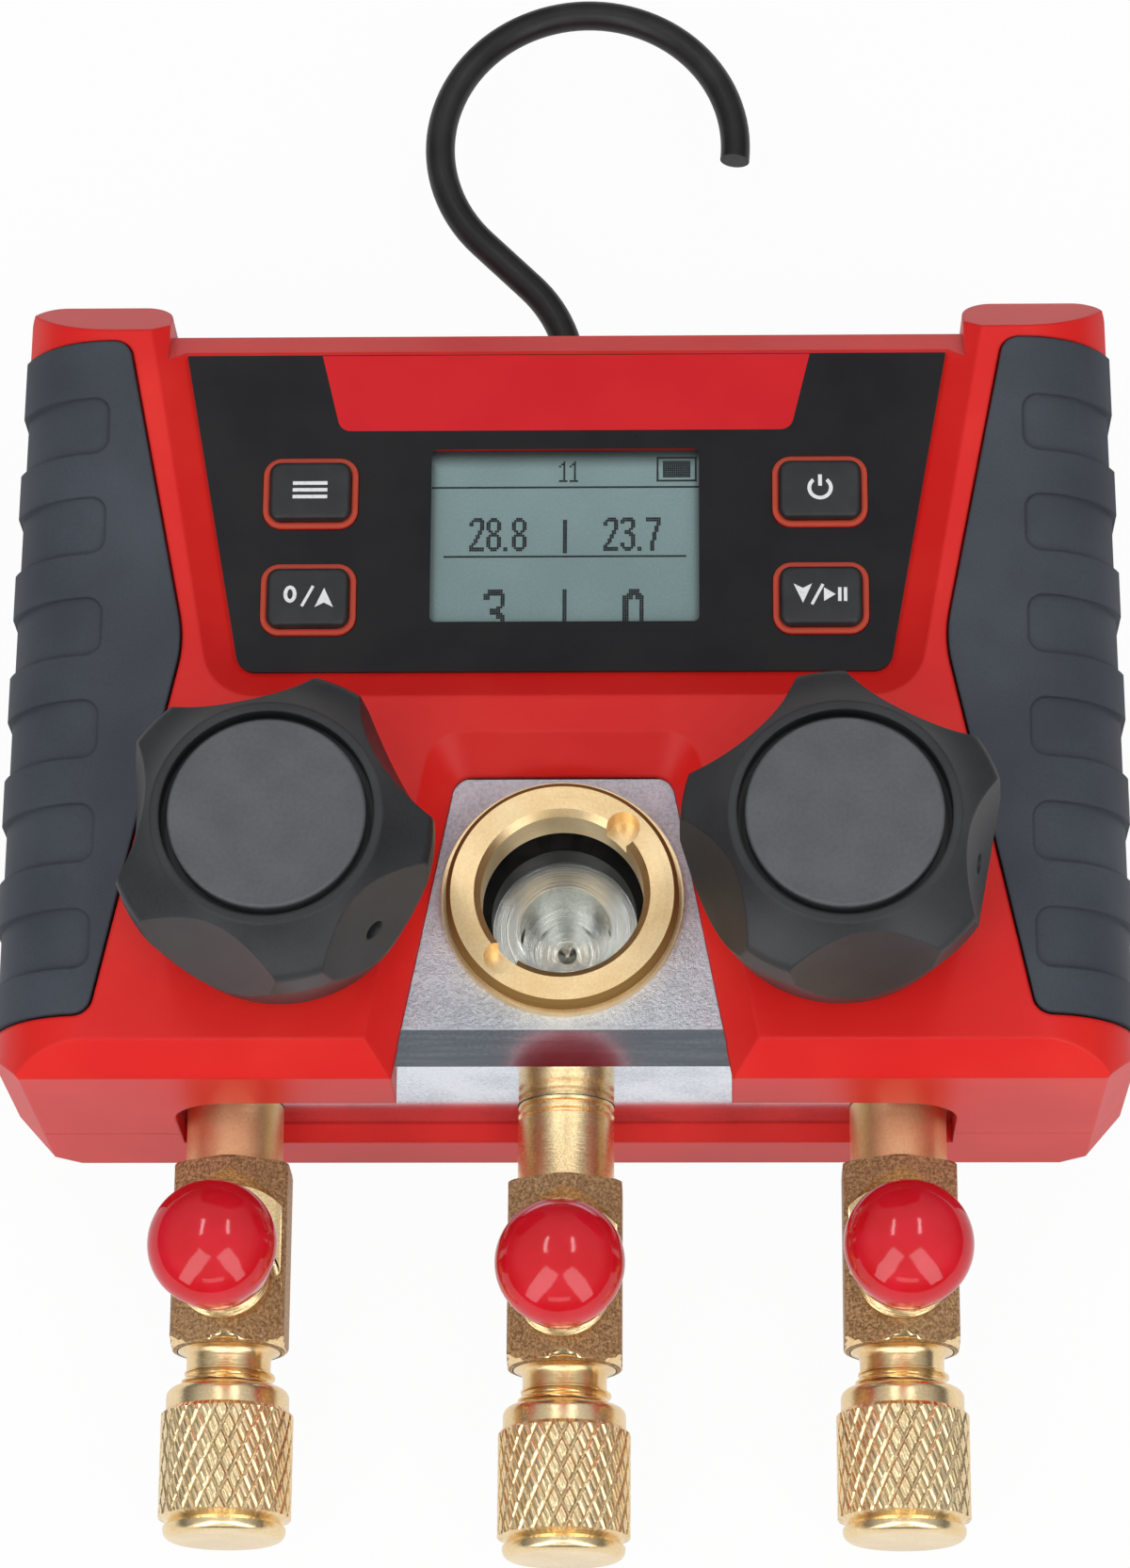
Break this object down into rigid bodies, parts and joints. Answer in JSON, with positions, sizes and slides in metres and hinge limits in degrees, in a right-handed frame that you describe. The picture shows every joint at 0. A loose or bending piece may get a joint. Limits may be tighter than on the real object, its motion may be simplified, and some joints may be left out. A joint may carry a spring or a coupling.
{
  "type": "refrigerant manifold gauge",
  "caption": "Digital refrigerant manifold with display, side knobs, central sight glass, capped flare ports and a swivel hook.",
  "frame": {"origin": "on the flat back face, straight behind the centre of the sight glass, on the middle plane of the valves and ports", "axes": "+Z out of the display, +Y towards the hook, +X to the right when the display is read with the hook up"},
  "size_m": [0.136, 0.2061, 0.071],
  "materials": {
    "shell": "fine satin moulded red plastic",
    "grip_rubber": "matt grey-black overmoulded rubber",
    "overlay": "black printed film with a red tab",
    "window": "clear polished",
    "lcd": "grey-green liquid crystal glass in a dark frame",
    "board": "green solder mask",
    "key_rubber": "matt black silicone",
    "steel": "bright zinc or stainless",
    "block_metal": "sand blasted front, milled edges",
    "turned_brass": "bright turned",
    "sight_glass": "clear polished",
    "seal_rubber": "black nitrile",
    "knob_plastic": "fine textured black plastic",
    "insert_plastic": "textured grey-black plastic",
    "forged_brass": "rough hot forged, turned ends",
    "knurled_brass": "turned, diamond knurl",
    "vinyl": "dipped glossy red vinyl",
    "hook_coat": "black dip coating over steel wire",
    "bush_plastic": "black acetal",
    "cell_wrap": "plain wrapped cell"
  },
  "bodies": {
    "root": {"front_housing": "shell", "rear_housing": "shell", "left_grip": "grip_rubber", "right_grip": "grip_rubber", "display_overlay": "overlay", "display_window": "window", "lcd_module": "lcd", "circuit_board": "board", "key_domes": "steel", "battery_contacts": "steel", "housing_screws": "steel", "block_screws": "steel", "left_pressure_sensor": "steel", "right_pressure_sensor": "steel", "manifold_block": "block_metal", "sight_glass_ring": "turned_brass", "left_valve_bonnet": "turned_brass", "right_valve_bonnet": "turned_brass", "left_valve_core": "turned_brass", "middle_valve_core": "turned_brass", "right_valve_core": "turned_brass", "sight_glass_lens": "sight_glass", "sight_glass_seal": "seal_rubber", "left_stem_packing": "seal_rubber", "right_stem_packing": "seal_rubber", "left_tee_fitting": "forged_brass", "middle_tee_fitting": "forged_brass", "right_tee_fitting": "forged_brass", "hook_bush": "bush_plastic", "battery_cells": "cell_wrap"},
    "left_piston": {"left_valve_piston": "turned_brass", "left_piston_rings": "seal_rubber"},
    "left_knob": {"left_knob": "knob_plastic", "left_knob_insert": "insert_plastic", "left_knob_set_screw": "steel", "left_valve_spindle": "turned_brass"},
    "right_piston": {"right_valve_piston": "turned_brass", "right_piston_rings": "seal_rubber"},
    "right_knob": {"right_knob": "knob_plastic", "right_knob_insert": "insert_plastic", "right_knob_set_screw": "steel", "right_valve_spindle": "turned_brass"},
    "hook": {"hook": "hook_coat", "hook_collar": "steel"},
    "battery_door": {"battery_door": "shell", "battery_door_screw": "steel"},
    "upper_left_key": {"upper_left_key": "key_rubber"},
    "lower_left_key": {"lower_left_key": "key_rubber"},
    "upper_right_key": {"upper_right_key": "key_rubber"},
    "lower_right_key": {"lower_right_key": "key_rubber"},
    "left_cap_seal": {"left_cap_seal": "seal_rubber"},
    "left_knurled_cap": {"left_knurled_cap": "knurled_brass"},
    "left_dust_cap": {"left_dust_cap": "vinyl"},
    "middle_cap_seal": {"middle_cap_seal": "seal_rubber"},
    "middle_knurled_cap": {"middle_knurled_cap": "knurled_brass"},
    "middle_dust_cap": {"middle_dust_cap": "vinyl"},
    "right_cap_seal": {"right_cap_seal": "seal_rubber"},
    "right_knurled_cap": {"right_knurled_cap": "knurled_brass"},
    "right_dust_cap": {"right_dust_cap": "vinyl"}
  },
  "joints": [
    {"name": "left_valve_travel", "type": "slide", "parent": "root", "child": "left_piston", "axis": [0, 0, 1], "range_m": [0, 0.003]},
    {"name": "left_knob_turn", "type": "hinge", "parent": "left_piston", "child": "left_knob", "pos_m": [-0.0324, 0, 0.05], "axis": [0, 0, 1], "range_deg": [0, 1080]},
    {"name": "right_valve_travel", "type": "slide", "parent": "root", "child": "right_piston", "axis": [0, 0, 1], "range_m": [0, 0.003]},
    {"name": "right_knob_turn", "type": "hinge", "parent": "right_piston", "child": "right_knob", "pos_m": [0.0324, 0, 0.05], "axis": [0, 0, 1], "range_deg": [0, 1080]},
    {"name": "left_cap_travel", "type": "slide", "parent": "root", "child": "left_cap_seal", "axis": [0, -1, 0], "range_m": [0, 0.01016]},
    {"name": "left_cap_turn", "type": "hinge", "parent": "left_cap_seal", "child": "left_knurled_cap", "pos_m": [-0.04, -0.0643, 0.017], "axis": [0, -1, 0], "range_deg": [0, 2880]},
    {"name": "left_dust_cap_pull", "type": "slide", "parent": "root", "child": "left_dust_cap", "axis": [0, 0, 1], "range_m": [0, 0.016]},
    {"name": "middle_cap_travel", "type": "slide", "parent": "root", "child": "middle_cap_seal", "axis": [0, -1, 0], "range_m": [0, 0.01016]},
    {"name": "middle_cap_turn", "type": "hinge", "parent": "middle_cap_seal", "child": "middle_knurled_cap", "pos_m": [0, -0.0665, 0.017], "axis": [0, -1, 0], "range_deg": [0, 2880]},
    {"name": "middle_dust_cap_pull", "type": "slide", "parent": "root", "child": "middle_dust_cap", "axis": [0, 0, 1], "range_m": [0, 0.016]},
    {"name": "right_cap_travel", "type": "slide", "parent": "root", "child": "right_cap_seal", "axis": [0, -1, 0], "range_m": [0, 0.01016]},
    {"name": "right_cap_turn", "type": "hinge", "parent": "right_cap_seal", "child": "right_knurled_cap", "pos_m": [0.04, -0.0643, 0.017], "axis": [0, -1, 0], "range_deg": [0, 2880]},
    {"name": "right_dust_cap_pull", "type": "slide", "parent": "root", "child": "right_dust_cap", "axis": [0, 0, 1], "range_m": [0, 0.016]},
    {"name": "upper_left_key_press", "type": "slide", "parent": "root", "child": "upper_left_key", "axis": [0, 0, -1], "range_m": [0, 0.0007], "stiffness_N_per_m": 800},
    {"name": "lower_left_key_press", "type": "slide", "parent": "root", "child": "lower_left_key", "axis": [0, 0, -1], "range_m": [0, 0.0007], "stiffness_N_per_m": 800},
    {"name": "upper_right_key_press", "type": "slide", "parent": "root", "child": "upper_right_key", "axis": [0, 0, -1], "range_m": [0, 0.0007], "stiffness_N_per_m": 800},
    {"name": "lower_right_key_press", "type": "slide", "parent": "root", "child": "lower_right_key", "axis": [0, 0, -1], "range_m": [0, 0.0007], "stiffness_N_per_m": 800},
    {"name": "hook_swivel", "type": "hinge", "parent": "root", "child": "hook", "pos_m": [0, 0.0741, 0.014], "axis": [0, 1, 0], "continuous": true},
    {"name": "battery_door_lift", "type": "slide", "parent": "root", "child": "battery_door", "axis": [0, 0, -1], "range_m": [0, 0.012]}
  ],
  "couplings": [
    {"joint": "left_knob_turn", "follows": "left_valve_travel", "rad_per_m": 6283.1},
    {"joint": "right_knob_turn", "follows": "right_valve_travel", "rad_per_m": 6283.1},
    {"joint": "left_cap_turn", "follows": "left_cap_travel", "rad_per_m": 4947.3},
    {"joint": "middle_cap_turn", "follows": "middle_cap_travel", "rad_per_m": 4947.3},
    {"joint": "right_cap_turn", "follows": "right_cap_travel", "rad_per_m": 4947.3}
  ]
}
